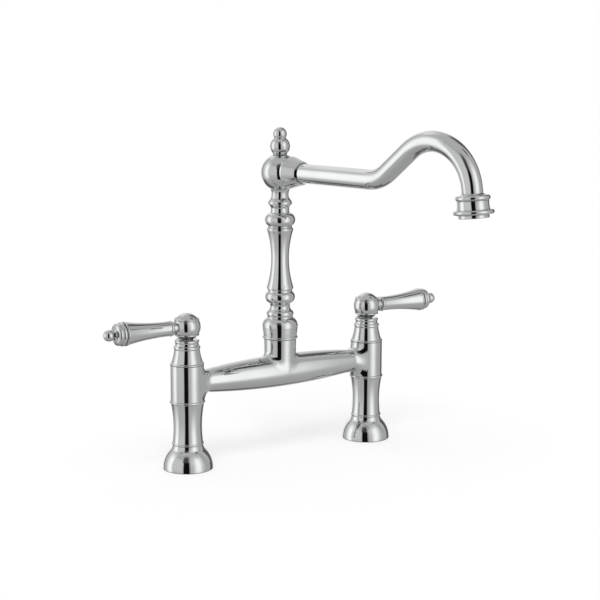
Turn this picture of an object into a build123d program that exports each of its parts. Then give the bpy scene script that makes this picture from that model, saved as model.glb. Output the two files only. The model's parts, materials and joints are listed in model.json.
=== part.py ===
from build123d import *
from math import atan2, cos, hypot, radians, sin, sqrt, tan
import os

# A bridge kitchen tap in chromed brass: two pillars on the deck carry a bridge, and a turned column on
# the bridge carries a swan-neck spout that swivels. A lever on each pillar opens a quarter-turn valve.
# Millimetres. The origin is on the deck, midway between the pillars. X runs along the bridge, with hot
# at -X and cold at +X, the user stands at -Y, and Z is up. At rest both valves are shut, levers outward.

os.makedirs("parts", exist_ok=True)

# Clearances
thread_gap = 0.05  # radial, where one piece screws or is brazed into another
running_gap = 0.06  # radial, where a shaft turns in its bore
slip_gap = 0.3  # where a piece passes through another without touching
spigot_gap = 0.1  # radial, where a bridge spigot slides into its pillar
seam = 0.3  # between the face of a turning piece and the fixed face below it

# Overall sizes
inlet_centres = 203.2  # between the axes of the two pillars
bridge_height = 80.0  # axis of the bridge
lever_height = 133.0  # axis of both levers
swivel_height = 111.6  # seam between the fixed socket and the turning column
spout_height = 270.15  # axis of the spout's straight run
port_rise = 0.8  # of that axis over the middle of the head's ball
reach = 230.0  # from the column's axis to the middle of the outlet, level
spout_turn = 11.0  # degrees that the spout rests away from straight ahead, towards cold

# Foot and what clamps it to the deck
foot_r = 23.3
foot_height = 22.8
foot_step = 5.2  # height of the cone above the dome
foot_crown = 2.5  # thickness of metal under the step
foot_wall = 2.2  # at the rim
gasket_thick = 2.0
deck_thick = 28.0  # the deck that the shanks are set for
shank_r = 10.45  # half-inch pipe thread, over its crests
shank_bore_r = 6.0
shank_grip = 11.5  # length of shank screwed into the pillar
inlet_length = 10.0  # free thread for the supply hose
relief_width = 1.5
relief_depth = 0.9
clamp_r = 20.0
clamp_gasket_thick = 2.5
clamp_washer_thick = 2.0
lock_nut_across = 27.0
lock_nut_thick = 8.0

# Pillar
pillar_r = 15.65
pillar_foot_r = 14.2
pillar_top = 97.8  # ledge that the bonnet stands on
bead_height = 2.5
lower_ring_height = 62.0
waist_hollow = 1.5
bonnet_thread_r = 13.0
bonnet_thread_length = 6.2
stub_r = 11.0
stub_length = 4.9  # beyond the pillar's side
stub_root_r = 15.4  # at the pillar, where the stub flares
stub_root_reach = 10.5  # from the pillar's axis to the flare
stub_fillet = 4.0
water_bore_r = 6.5

# Valve cartridge
seat_height = 69.0
seat_seal_thick = 4.0
chamber_r = 9.4
cartridge_gap = 0.5  # round the cartridge's skirt and below it
cartridge_thread_r = 10.3
cartridge_shoulder = 88.0
cartridge_flange = 101.0
cartridge_hex_across = 17.0
cartridge_top = 107.5
cartridge_wall = 1.3
disc_thick = 2.6
disc_film = 0.02  # water film between the two discs
fan_offset = 1.2  # of each opening's point from the disc's middle
fan_half_angle = 40.0
driver_length = 10.0  # the stem's bar in the disc's slot
driver_width = 3.0
port_r = 3.0
stem_r = 3.9
stem_collar_r = 6.6
stem_collar_thick = 2.4
stem_seal_rise = 6.0  # of the stem's O-ring over the cartridge's shoulder
stem_drop = 4.5  # from the lever's axis down to the stem's end
seal_wire = 0.75  # radius of every O-ring's section

# Bonnet, hub and lever
bonnet_base_r = 14.7
bonnet_neck_r = 11.1
hub_r = 12.9
hub_flat_depth = 1.9  # what the ball's underside is cut flat by
hub_gap = 0.8  # between that flat and the bonnet
hub_neck_r = 6.0
hub_neck_length = 9.0
hub_bead_rise = 7.1  # of each bead's middle from the lever's axis
hub_bead_r = 0.9
index_floor_rise = 6.7  # floor of the button's pocket over the lever's axis
index_gap = 0.25
screw_r = 2.0
screw_head_r = 3.6
screw_head = 3.0
screw_grip = 10.0
arm_depth = 5.0  # of the arm's neck in the ball
arm_root = 15.3  # distance of the arm's root ring from the pillar's axis
arm_length = 49.5
arm_root_r = 6.95
arm_tip_r = 11.05
arm_neck_r = 5.0
lever_neck_r = 3.1
lever_ball_r = 5.3
lever_ball_reach = 14.1  # from the arm's tip to the middle of the ball
cap_spigot_r = 3.5
cap_spigot_length = 8.0

# Bridge
bridge_mid_r = 15.45
bridge_end_r = 10.9
spigot_r = 8.5
spigot_length = 7.4
socket_root_r = 14.9
socket_r = 15.5  # at the seam
socket_fillet = 3.0

# Swivel
swivel_r = 10.4
swivel_length = 22.0
swivel_bore_r = 7.0
swivel_washer_thick = 1.5
grub_drop = 8.0  # from the seam down to the axis of the retaining screw
grub_r = 2.0
grub_tip_r = 1.2
grub_recess = 0.6
grub_groove_depth = 1.5

# Column, by the heights at which one turned piece stands on the next
riser_r = 5.9
riser_bore_r = 5.0
cup_top = 132.0
lower_turning_top = 158.6
baluster_top = 217.6
upper_turning_top = 246.2
cup_r = 16.1
cup_neck_r = 12.3
baluster_lip_r = 12.65
baluster_waist_r = 8.5
head_r = 18.0
riser_grip = 8.0  # length of riser brazed into the head
port_boss_r = 12.8
port_boss_end = 15.2
finial_flat_depth = 1.2  # what the head's top is cut flat by
finial_ball_r = 9.45
finial_ball_rise = 7.7  # from that flat to the ball's middle
finial_tip_r = 6.45
finial_tip_rise = 11.45  # from one ball's middle to the other's
finial_stud_r = 3.9

# Spout
tube_r = 9.1
tube_wall = 1.0
tube_start = 8.0
nut_r = 15.0
nut_length = 14.6
nut_thread_r = 12.0
nut_thread_length = 4.4
tube_flange_thick = 2.2
nut_end_r = 11.9
rise_angle = 39.0
rise_r = 34.9
climb_length = 31.8
crook_r = 43.0
outlet_lean = 6.0
drop_length = 3.8

# Outlet
collar_r = 15.0
collar_waist_r = 13.6
collar_flange_r = 17.6
collar_length = 16.3
housing_r = 13.2
housing_length = 3.0
housing_thread_r = 11.4
insert_wall = 1.2
screen_thick = 0.5
screen_pitch = 2.5
screen_bar = 0.7
washer_thick = 2.0


def turned(*steps):
    """A solid turned about Z, from its outline going up the outside, over the top and down the bore.
    A step is (radius, height), reached in a straight line, or (radius, height, swell), reached by an
    arc that swells out of the metal by that much, or is hollowed into it where the swell is negative."""
    edges = []
    for before, step in zip(steps[-1:] + steps[:-1], steps):
        start = Vector(before[0], 0, before[1])
        end = Vector(step[0], 0, step[1])
        if (end - start).length < 1e-6:
            continue
        if len(step) == 2:
            edges.append(Line(start, end))
        else:
            along = (end - start).normalized()
            outward = Vector(along.Z, 0, -along.X)
            edges.append(ThreePointArc(start, (start + end) * 0.5 + outward * step[2], end))
    return revolve(make_face(edges), Axis.Z)


def ring(outer_r, inner_r, low, high):
    """A flat ring about Z."""
    return turned((outer_r, low), (outer_r, high), (inner_r, high), (inner_r, low))


def rod(radius, low, high):
    """A round bar on Z."""
    return Pos(0, 0, (low + high) / 2) * Cylinder(radius, high - low)


def rod_x(radius, start, end, height=0):
    """A round bar along X at a height."""
    return Pos((start + end) / 2, 0, height) * Rot(0, 90, 0) * Cylinder(radius, abs(end - start))


def hexagon(across, low, high):
    """A six-sided bar on Z, by its width across flats."""
    return Pos(0, 0, low) * extrude(RegularPolygon(across / 2, 6, major_radius=False), high - low)


def o_ring(inner_r, height):
    """A rubber ring that lies on a groove of that radius."""
    return Pos(0, 0, height) * Torus(inner_r + seal_wire, seal_wire)


def along_x(piece, height=0):
    """Lays a piece turned about Z along +X."""
    return Pos(0, 0, height) * Rot(0, 90, 0) * piece


groove_depth = 2 * seal_wire - running_gap / 2  # leaves the ring just inside the bore that it seals
groove_width = 2 * seal_wire + 0.7


def seal_groove(surface_r, height):
    """What is cut from a spigot for an O-ring."""
    bottom_r = surface_r - groove_depth
    return ring(surface_r + 1, bottom_r, height - groove_width / 2, height + groove_width / 2)


# ---- Foot, shank and clamp


def foot():
    """The bell that covers the hole in the deck, hollow under its dome."""
    dome_top = foot_height - foot_step
    inner_r = foot_r - foot_wall
    return turned(
        (foot_r - 0.2, 0),
        (foot_r, 0.8, 0.1),
        (foot_r - 6.8, dome_top, 1.75),
        (foot_r - 7.4, dome_top + 0.6),
        (pillar_foot_r + 0.15, foot_height, -0.4),
        (shank_r + slip_gap, foot_height),
        (shank_r + slip_gap, dome_top - foot_crown),
        (foot_r - 11.0, dome_top - foot_crown),
        (inner_r - 2.5, gasket_thick, -1.2),
        (inner_r, gasket_thick),
        (inner_r, 0),
    )


def foot_gasket():
    """The rubber ring inside the bell's rim, pressed flush with the deck."""
    return ring(foot_r - foot_wall - 0.1, shank_r + slip_gap, 0, gasket_thick)


nut_low = -deck_thick - clamp_gasket_thick - clamp_washer_thick - lock_nut_thick
shank_low = nut_low - 2 * relief_width - inlet_length
shank_high = foot_height + shank_grip


def shank():
    """The tail through the deck: a thread for the hose, a relief, and a long thread that takes the lock
    nut and screws into the pillar."""
    relief_low = shank_low + inlet_length
    return turned(
        (shank_r - 0.8, shank_low),
        (shank_r, shank_low + 0.8),
        (shank_r, relief_low),
        (shank_r - relief_depth, relief_low),
        (shank_r - relief_depth, relief_low + relief_width),
        (shank_r, relief_low + relief_width),
        (shank_r, shank_high),
        (shank_bore_r, shank_high),
        (shank_bore_r, shank_low),
    )


def clamp_gasket():
    """The rubber ring against the underside of the deck."""
    return ring(clamp_r, shank_r + slip_gap, -deck_thick - clamp_gasket_thick, -deck_thick)


def clamp_washer():
    """The metal ring that spreads the nut's load."""
    top = -deck_thick - clamp_gasket_thick
    return ring(clamp_r, shank_r + slip_gap, top - clamp_washer_thick, top)


def lock_nut():
    """The six-sided nut, its corners turned off at both ends."""
    high = nut_low + lock_nut_thick
    corner_r = lock_nut_across / sqrt(3)
    blank = hexagon(lock_nut_across, nut_low, high)
    rounded = turned(
        (0, nut_low),
        (corner_r - 1.6, nut_low),
        (corner_r, nut_low + 1.0),
        (corner_r, high - 1.0),
        (corner_r - 1.6, high),
        (0, high),
    )
    return (blank & rounded) - rod(shank_r + thread_gap, nut_low, high)


# ---- Pillar, and the valve inside it

bonnet_seat = pillar_top + bonnet_thread_length
hub_flat = lever_height - hub_r + hub_flat_depth
bonnet_top = hub_flat - hub_gap


def pillar():
    """The turned pillar with the stub that carries the bridge, drawn with its stub towards -X."""
    body = turned(
        (0, foot_height),
        (pillar_foot_r, foot_height),
        (pillar_foot_r, foot_height + 2.2, 0.75),
        (pillar_r, lower_ring_height, -waist_hollow),
        (pillar_r, lower_ring_height + bead_height, 0.9),
        (pillar_r, pillar_top),
        (bonnet_thread_r, pillar_top),
        (bonnet_thread_r, bonnet_seat),
        (0, bonnet_seat),
    )
    stub_face = -(pillar_r + stub_length)
    arm = stub(stub_face)
    tee = body + arm
    tee = fillet(new_edges(body, arm, combined=tee), stub_fillet)
    bore = (
        rod(shank_r + thread_gap, foot_height, shank_high)
        + rod(water_bore_r, shank_high, seat_height)
        + rod(chamber_r, seat_height, cartridge_shoulder)
        + rod(cartridge_thread_r + thread_gap, cartridge_shoulder, bonnet_seat)
        + rod_x(water_bore_r, stub_face, 0, bridge_height)
        + rod_x(spigot_r + spigot_gap, stub_face, stub_face + spigot_length + slip_gap, bridge_height)
    )
    return tee - bore


def stub(face):
    """The arm that meets the bridge at the face, flared towards the pillar by two arcs that flow together."""
    run = -stub_root_reach - face
    rise = stub_root_r - stub_r
    bulge = hypot(run, rise) / 4 * tan(atan2(rise, run) / 2)
    flare = turned(
        (0, face),
        (stub_r, face),
        ((stub_r + stub_root_r) / 2, (face - stub_root_reach) / 2, -bulge),
        (stub_root_r, -stub_root_reach, bulge),
        (stub_root_r, 0),
        (0, 0),
    )
    return along_x(flare, bridge_height)


def bonnet():
    """The tapered cover over the valve, between two beads, hollowed on top to clear the ball."""
    base = pillar_top + 0.1
    return turned(
        (pillar_r - 0.3, base),
        (pillar_r - 0.3, base + 1.8, 0.55),
        (bonnet_base_r, base + 2.1),
        (bonnet_neck_r + 0.75, bonnet_top - 8.9, -0.35),
        (bonnet_neck_r + 0.9, bonnet_top - 5.8, 0.55),
        (bonnet_neck_r, bonnet_top - 5.3),
        (bonnet_neck_r + 0.1, bonnet_top - 2.4, -0.2),
        (bonnet_neck_r + 0.1, bonnet_top - 0.5, 0.25),
        (bonnet_neck_r - 1.0, bonnet_top, 0.2),
        (hub_neck_r + slip_gap + 0.6, bonnet_top - 1.6),
        (hub_neck_r + slip_gap, bonnet_top - 2.2),
        (hub_neck_r + slip_gap, cartridge_top + 4.1),
        (cartridge_thread_r + slip_gap, cartridge_top + 1.7),
        (cartridge_thread_r + slip_gap, bonnet_seat + slip_gap),
        (bonnet_thread_r + thread_gap, bonnet_seat + slip_gap),
        (bonnet_thread_r + thread_gap, base),
    )


skirt_r = chamber_r - cartridge_gap
skirt_low = seat_height + cartridge_gap
cartridge_cavity_r = skirt_r - cartridge_wall
fixed_disc_low = seat_height + seat_seal_thick
moving_disc_low = fixed_disc_low + disc_thick + disc_film
driver_low = moving_disc_low + disc_thick - 1.0
disc_r = cartridge_cavity_r - 0.1
fan_r = disc_r - 2.4
stem_top = lever_height - stem_drop
stem_seal_height = cartridge_shoulder + stem_seal_rise


def cartridge():
    """The valve's brass body: a skirt round the discs with two ports, a thread, a hexagon and a neck."""
    body = turned(
        (skirt_r, skirt_low),
        (skirt_r, cartridge_shoulder),
        (cartridge_thread_r, cartridge_shoulder),
        (cartridge_thread_r, cartridge_flange),
        (0, cartridge_flange),
        (0, skirt_low),
    )
    body += hexagon(cartridge_hex_across, cartridge_flange, cartridge_top)
    body -= rod(cartridge_cavity_r, skirt_low, cartridge_shoulder - 0.5)
    body -= rod(stem_r + running_gap, cartridge_shoulder - 1, cartridge_top)
    return body - rod_x(port_r, -chamber_r, chamber_r, bridge_height + 1)


def seat_seal():
    """The rubber ring that the cartridge presses on the seat in the pillar."""
    return ring(cartridge_cavity_r - 0.1, port_r + 1.5, seat_height, fixed_disc_low)


def fan(radius, low, high):
    """Two opposite sectors, the openings through a ceramic disc."""
    across = radius * sin(radians(fan_half_angle))
    along = fan_offset + radius * cos(radians(fan_half_angle))
    outline = [
        Line((0, fan_offset), (across, along)),
        ThreePointArc((across, along), (0, fan_offset + radius), (-across, along)),
        Line((-across, along), (0, fan_offset)),
    ]
    sector = Pos(0, 0, low) * extrude(make_face(outline), high - low)
    return sector + Rot(0, 0, 180) * sector


def fixed_disc():
    """The lower ceramic disc, open along X."""
    high = fixed_disc_low + disc_thick
    return rod(disc_r, fixed_disc_low, high) - Rot(0, 0, 90) * fan(fan_r, fixed_disc_low, high)


def moving_disc():
    """The upper ceramic disc, open across the lower one's openings while the valve is shut."""
    high = moving_disc_low + disc_thick
    slot = Pos(0, 0, driver_low) * Box(
        driver_length + 0.2, driver_width + 0.2, 2, align=(Align.CENTER, Align.CENTER, Align.MIN)
    )
    return rod(disc_r - 0.1, moving_disc_low, high) - fan(fan_r, moving_disc_low, high) - slot


def stem():
    """The spindle: a bar that drives the disc, a collar that keeps it in, and a shaft into the hub."""
    collar_high = cartridge_shoulder - 0.6
    bar = Pos(0, 0, driver_low) * Box(
        driver_length, driver_width, 3, align=(Align.CENTER, Align.CENTER, Align.MIN)
    )
    shaft = turned(
        (0, driver_low + 2),
        (stem_r, driver_low + 2),
        (stem_r, collar_high - stem_collar_thick),
        (stem_collar_r, collar_high - stem_collar_thick),
        (stem_collar_r, collar_high),
        (stem_r, collar_high),
        (stem_r, stem_top - 0.5),
        (stem_r - 0.5, stem_top),
        (0, stem_top),
    )
    tapped = rod(screw_r + thread_gap, stem_top - screw_grip - 1, stem_top)
    return bar + shaft - tapped - seal_groove(stem_r, stem_seal_height)


def stem_seal():
    """The O-ring that keeps water from climbing the stem."""
    return o_ring(stem_r - groove_depth, stem_seal_height)


# ---- Hub and lever

hub_top = lever_height + hub_r
hub_bead_place = sqrt(hub_r**2 - hub_bead_rise**2)
index_r = hub_bead_place - hub_bead_r
index_floor = lever_height + index_floor_rise
screw_seat = index_floor - screw_head - 1.0


def hub():
    """The ball that holds the lever, two beads round it, on a neck that turns inside the bonnet."""
    ball = Pos(0, 0, lever_height) * Sphere(hub_r) - rod(hub_r, hub_flat - hub_r, hub_flat)
    for rise in (-hub_bead_rise, hub_bead_rise):
        ball += Pos(0, 0, lever_height + rise) * Torus(hub_bead_place, hub_bead_r)
    body = ball + rod(hub_neck_r, hub_flat - hub_neck_length, hub_flat + 1)
    body -= rod(stem_r + thread_gap, hub_flat - hub_neck_length, stem_top)
    body -= rod(screw_r + slip_gap, stem_top, screw_seat)
    body -= rod(screw_head_r + slip_gap, screw_seat, index_floor)
    body -= rod(index_r + index_gap, index_floor, hub_top)
    return body - rod_x(arm_neck_r + thread_gap, hub_r - arm_depth, hub_r, lever_height)


def index_cap():
    """The domed button inside the upper bead, which covers the handle screw."""
    shoulder = lever_height + sqrt(hub_r**2 - index_r**2) - 0.5
    dome = hub_top - shoulder
    sphere_r = (index_r**2 + dome**2) / (2 * dome)
    half = Vector(index_r, dome).length / 2
    swell = sphere_r - sqrt(sphere_r**2 - half**2)
    return turned((0, index_floor), (index_r, index_floor), (index_r, shoulder), (0, hub_top, swell))


def handle_screw():
    """The socket screw that ties the hub to the stem."""
    top = screw_seat + screw_head
    body = rod(screw_r, stem_top - screw_grip, screw_seat) + rod(screw_head_r, screw_seat, top)
    return body - hexagon(3.0, top - 1.8, top)


arm_tip = arm_root + arm_length


def lever_arm():
    """The turned handle: a neck into the ball, a root ring, and a taper that swells to the tip."""
    root = arm_root
    body = turned(
        (0, hub_r - arm_depth),
        (arm_neck_r, hub_r - arm_depth),
        (arm_neck_r, root),
        (arm_root_r - 0.1, root + 0.7),
        (arm_root_r, root + 3.4, 0.5),
        (arm_tip_r - 0.2, arm_tip - 2.4, -1.1),
        (arm_tip_r - 0.5, arm_tip, 0.5),
        (cap_spigot_r + thread_gap, arm_tip),
        (cap_spigot_r + thread_gap, arm_tip - cap_spigot_length - 0.5),
        (0, arm_tip - cap_spigot_length - 0.5),
    )
    return along_x(body, lever_height)


def lever_cap():
    """The end of the handle: a ring, a stepped dome, a neck and a ball, on a threaded spigot."""
    ball = arm_tip + lever_ball_reach
    body = turned(
        (0, arm_tip - cap_spigot_length),
        (cap_spigot_r, arm_tip - cap_spigot_length),
        (cap_spigot_r, arm_tip + 0.1),
        (arm_tip_r - 1.1, arm_tip + 0.1),
        (arm_tip_r - 1.1, arm_tip + 0.5),
        (arm_tip_r - 0.7, arm_tip + 0.5),
        (arm_tip_r - 0.7, arm_tip + 3.8, 0.65),
        (arm_tip_r - 1.15, arm_tip + 4.2),
        (arm_tip_r - 3.4, arm_tip + 8.1, 1.2),
        (arm_tip_r - 4.25, arm_tip + 8.4),
        (lever_neck_r, ball - lever_ball_r + 1.0, -0.5),
        (lever_neck_r, ball),
        (0, ball),
    )
    body += Pos(0, 0, ball) * Sphere(lever_ball_r)
    return along_x(body, lever_height)


# ---- Bridge and swivel

bridge_half = inlet_centres / 2 - pillar_r - stub_length
bridge_groove = bridge_half + spigot_length / 2
swivel_low = swivel_height - swivel_length
grub_height = swivel_height - grub_drop


def bridge():
    """The spindle between the pillars with the socket that holds the column."""
    top = swivel_height - seam / 2
    spindle = turned(
        (0, -bridge_half),
        (bridge_end_r, -bridge_half),
        (bridge_end_r, bridge_half, bridge_mid_r - bridge_end_r),
        (0, bridge_half),
    )
    socket = turned((0, bridge_height), (socket_root_r, bridge_height), (socket_r, top), (0, top))
    tee = along_x(spindle, bridge_height) + socket
    root = tee.edges().filter_by(on_socket_root)
    tee = fillet(root, socket_fillet)
    end = bridge_half + spigot_length
    tee += rod_x(spigot_r, -end, end, bridge_height)
    for side in (-1, 1):
        tee -= along_x(seal_groove(spigot_r, side * bridge_groove), bridge_height)
    tee -= rod_x(water_bore_r, -end, end, bridge_height)
    tee -= rod(water_bore_r, bridge_height, swivel_low)
    tee -= rod(swivel_r + running_gap, swivel_low - swivel_washer_thick, swivel_height)
    return tee - along_y(rod(grub_r + thread_gap, swivel_r, socket_r + 1), grub_height)


def on_socket_root(edge):
    """Whether an edge is where the socket rises from the spindle."""
    box = edge.bounding_box()
    on_spindle = bridge_height + 0.5 < box.min.Z and box.max.Z < bridge_height + bridge_mid_r + 0.5
    return on_spindle and box.size.Z > 1


def along_y(piece, height):
    """Lays a piece turned about Z along +Y, towards the back."""
    return Pos(0, 0, height) * Rot(-90, 0, 0) * piece


def bridge_seal(side):
    """The O-ring on one spigot of the bridge."""
    return along_x(o_ring(spigot_r - groove_depth, side * bridge_groove), bridge_height)


def swivel_washer():
    """The slippery ring that the column stands on."""
    return ring(swivel_r - 0.1, swivel_bore_r, swivel_low - swivel_washer_thick, swivel_low - 0.02)


def retaining_screw():
    """The grub screw at the back, whose tip keeps the column from lifting out."""
    tip = swivel_r - grub_groove_depth + slip_gap
    end = socket_r - grub_recess
    body = rod(grub_tip_r, tip, swivel_r + 1) + rod(grub_r, swivel_r + 0.8, end)
    return along_y(body - hexagon(2.0, end - 2.0, end), grub_height)


swivel_seal_heights = (swivel_low + 3.5, swivel_low + 8.0)

# ---- Turned column


def cup():
    """The bowl at the foot of the column, on the spigot that turns in the bridge's socket."""
    base = swivel_height + seam / 2
    body = turned(
        (swivel_bore_r, swivel_low),
        (swivel_r, swivel_low),
        (swivel_r, base),
        (cup_r, base),
        (cup_r, base + 2.5, 0.85),
        (cup_r - 0.1, base + 2.9),
        (cup_r + 0.75, cup_top - 10.2, 0.05),
        (cup_neck_r + 0.6, cup_top - 0.6, 1.6),
        (cup_neck_r, cup_top - 0.2),
        (cup_neck_r, cup_top),
        (riser_r + thread_gap, cup_top),
        (riser_r + thread_gap, base + 3.0),
        (swivel_bore_r, base + 1.0),
    )
    for height in swivel_seal_heights:
        body -= seal_groove(swivel_r, height)
    groove_r = swivel_r - grub_groove_depth
    half = grub_tip_r + slip_gap
    return body - ring(swivel_r + 1, groove_r, grub_height - half, grub_height + half)


def lower_turning():
    """A small bead, a cove and a round bead."""
    base = cup_top
    top = lower_turning_top
    return turned(
        (cup_neck_r, base),
        (cup_neck_r - 0.2, base + 1.0),
        (cup_neck_r - 0.9, base + 6.6, 1.2),
        (baluster_lip_r - 1.75, top - 12.8, -1.7),
        (baluster_lip_r - 0.95, top - 2.0, 3.0),
        (baluster_lip_r - 1.15, top),
        (riser_r + thread_gap, top),
        (riser_r + thread_gap, base),
    )


def baluster():
    """The long waisted piece, its lips turned over at both ends."""
    base = lower_turning_top
    top = baluster_top
    hollow = baluster_lip_r - baluster_waist_r - 0.15
    return turned(
        (baluster_lip_r - 1.1, base),
        (baluster_lip_r - 0.1, base + 0.6),
        (baluster_lip_r - 0.15, base + 3.0, 0.15),
        (baluster_lip_r - 0.15, top - 2.6, -hollow),
        (baluster_lip_r - 0.1, top - 0.7, 0.15),
        (baluster_lip_r - 1.1, top),
        (riser_r + thread_gap, top),
        (riser_r + thread_gap, base),
    )


def upper_turning():
    """A fat bead, a cove and a sharp-edged ring under the head."""
    base = baluster_top
    top = upper_turning_top
    neck_r = baluster_waist_r
    return turned(
        (baluster_lip_r - 1.25, base),
        (baluster_lip_r - 1.05, base + 1.7),
        (neck_r + 0.9, base + 13.95, 3.95),
        (neck_r + 0.45, base + 14.4),
        (neck_r + 0.25, base + 18.6, -0.1),
        (neck_r + 2.6, base + 22.0, -0.2),
        (neck_r + 2.6, base + 24.6, 0.25),
        (neck_r + 0.1, top - 0.6, 0.1),
        (neck_r - 0.1, top),
        (riser_r + thread_gap, top),
        (riser_r + thread_gap, base),
    )


def riser():
    """The tube that ties the turned pieces together and carries the water up to the head."""
    return ring(riser_r, riser_bore_r, swivel_height + seam / 2 + 3.2, upper_turning_top + riser_grip)


head_height = spout_height - port_rise
port_face = port_boss_end + nut_thread_length
finial_seat = head_height + head_r - finial_flat_depth
spout_seal_place = tube_start + 4.0
spout_groove_r = tube_r + 2 * seal_wire + thread_gap


def head():
    """The hollow ball on top of the column, with a port for the spout and a seat for the finial."""
    neck_r = baluster_waist_r - 0.1
    sink_r = neck_r + 1.4
    sink = head_height - sqrt(head_r**2 - sink_r**2) + 0.4
    body = Pos(0, 0, head_height) * Sphere(head_r)
    body -= rod(head_r, finial_seat, head_height + head_r + 1)
    body += turned((0, upper_turning_top), (neck_r, upper_turning_top), (sink_r, sink, -0.9), (0, sink))
    boss = turned(
        (0, 0),
        (port_boss_r, 0),
        (port_boss_r, port_boss_end - 0.4),
        (port_boss_r - 0.4, port_boss_end),
        (nut_thread_r, port_boss_end),
        (nut_thread_r, port_face),
        (0, port_face),
    )
    body += along_x(boss, spout_height)
    body -= rod(riser_r + thread_gap, upper_turning_top, upper_turning_top + riser_grip)
    body -= rod(riser_bore_r, upper_turning_top, spout_height)
    body -= Pos(0, 0, spout_height) * Sphere(riser_r + 1.0)
    body -= rod_x(tube_r + thread_gap, tube_start, port_face, spout_height)
    body -= rod_x(tube_r - tube_wall, 0, tube_start, spout_height)
    groove_low = spout_seal_place - groove_width / 2
    body -= rod_x(spout_groove_r, groove_low, groove_low + groove_width, spout_height)
    body -= rod(finial_stud_r + thread_gap, finial_seat - 6.0, finial_seat)
    return aim(body)


def aim(piece):
    """Turns what is drawn with the spout along +X to where the spout rests."""
    return Rot(0, 0, spout_turn - 90) * piece


def finial():
    """Two balls, the smaller on top, on a neck with a threaded stud."""
    low_ball = finial_seat + finial_ball_rise
    high_ball = low_ball + finial_tip_rise
    neck = turned(
        (0, finial_seat - 5.0),
        (finial_stud_r, finial_seat - 5.0),
        (finial_stud_r, finial_seat),
        (finial_ball_r - 3.05, finial_seat),
        (finial_ball_r - 3.05, finial_seat + 1.0, 0.25),
        (finial_ball_r - 3.9, finial_seat + 1.3),
        (finial_ball_r - 3.9, high_ball - 3.0),
        (0, high_ball),
    )
    ball = Pos(0, 0, low_ball) * Sphere(finial_ball_r) - rod(finial_ball_r, finial_seat - 2, finial_seat)
    return neck + ball + Pos(0, 0, high_ball) * Sphere(finial_tip_r)


# ---- Spout


def spout_nut():
    """The coned nut that draws the spout into the head."""
    low = port_boss_end + 0.2
    end = low + nut_length
    inner = port_face + tube_flange_thick + 0.1
    body = turned(
        (nut_r - 0.5, low),
        (nut_r, low + 0.5),
        (nut_r, low + 2.0),
        (nut_end_r + 0.6, low + 8.6, -0.35),
        (nut_end_r, low + 9.2),
        (nut_end_r, end - 1.1),
        (nut_end_r - 0.9, end),
        (tube_r + slip_gap, end),
        (tube_r + slip_gap, inner),
        (nut_thread_r + thread_gap, inner),
        (nut_thread_r + thread_gap, low),
    )
    return aim(along_x(body, spout_height))


rise = radians(rise_angle)
lean = radians(outlet_lean)
straight_end = (
    reach
    - rise_r * sin(rise)
    - climb_length * cos(rise)
    - crook_r * (sin(rise) + cos(lean))
    - drop_length * sin(lean)
)


def spout_path():
    """The middle line of the spout, drawn with X along the spout and Y up: straight, up, over, down."""
    run = Line((tube_start, 0), (straight_end, 0))
    up = JernArc(run @ 1, run % 1, rise_r, rise_angle)
    climb = Line(up @ 1, up @ 1 + (up % 1) * climb_length)
    over = JernArc(climb @ 1, climb % 1, crook_r, outlet_lean - 90 - rise_angle)
    drop = Line(over @ 1, over @ 1 + (over % 1) * drop_length)
    return Wire([run, up, climb, over, drop])


path = spout_path()
outlet_point = path @ 1


def spout_tube():
    """The swan neck: one drawn tube, with the flange that its nut presses on the head."""

    def swept(radius):
        section = Plane(path @ 0, z_dir=path % 0) * Circle(radius)
        return sweep(section, path)

    flange = rod_x(nut_thread_r - 0.1, port_face + 0.05, port_face + tube_flange_thick, 0)
    tube = Rot(90, 0, 0) * swept(tube_r) + flange
    tube -= Rot(90, 0, 0) * swept(tube_r - tube_wall)
    return aim(Pos(0, 0, spout_height) * tube)


def spout_seal():
    """The O-ring between the spout and the head's port."""
    return aim(along_x(o_ring(tube_r + thread_gap / 2, spout_seal_place), spout_height))


# ---- Outlet, drawn with the flow along +Z from the end of the tube


def at_outlet(piece):
    """Sets a piece of the outlet on the end of the spout."""
    place = Pos(outlet_point.X, 0, spout_height + outlet_point.Y) * Rot(0, 180 - outlet_lean, 0)
    return aim(place * piece)


brazed_depth = 4.5
thread_start = brazed_depth + 1.0
housing_start = collar_length


def outlet_collar():
    """The waisted collar brazed on the spout, a bead at its top and a wide bead at its mouth."""
    body = turned(
        (tube_r + thread_gap, -1.2),
        (tube_r + 0.6, -1.2),
        (collar_r - 1.6, 0.15, -0.5),
        (collar_r - 1.6, 4.6, 1.6),
        (collar_waist_r, 5.1),
        (collar_waist_r + 0.5, collar_length - 4.0, -0.2),
        (collar_flange_r - 1.7, collar_length - 4.0),
        (collar_flange_r - 1.7, collar_length - 0.1, 1.7),
        (housing_r, collar_length),
        (housing_thread_r + thread_gap, collar_length),
        (housing_thread_r + thread_gap, thread_start),
        (tube_r - tube_wall, thread_start),
        (tube_r - tube_wall, brazed_depth - 1.5),
        (tube_r + thread_gap, brazed_depth - 1.5),
    )
    return at_outlet(body)


insert_start = thread_start + washer_thick
housing_end = housing_start + housing_length
lip_thick = 1.0
insert_r = housing_thread_r - 1.2


def aerator_washer():
    """The rubber ring between the aerator and the collar."""
    return at_outlet(ring(housing_thread_r - 0.1, tube_r - tube_wall, thread_start, insert_start))


def aerator_housing():
    """The screwed ring at the mouth, with a lip that holds the insert."""
    body = turned(
        (housing_thread_r, insert_start),
        (housing_thread_r, housing_start + 0.05),
        (housing_r, housing_start + 0.05),
        (housing_r, housing_end - 0.6),
        (housing_r - 0.6, housing_end, 0.15),
        (insert_r - 1.0, housing_end),
        (insert_r - 1.0, housing_end - lip_thick),
        (insert_r + 0.05, housing_end - lip_thick),
        (insert_r + 0.05, insert_start),
    )
    return at_outlet(body)


screen_low = housing_end - lip_thick - screen_thick


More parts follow.
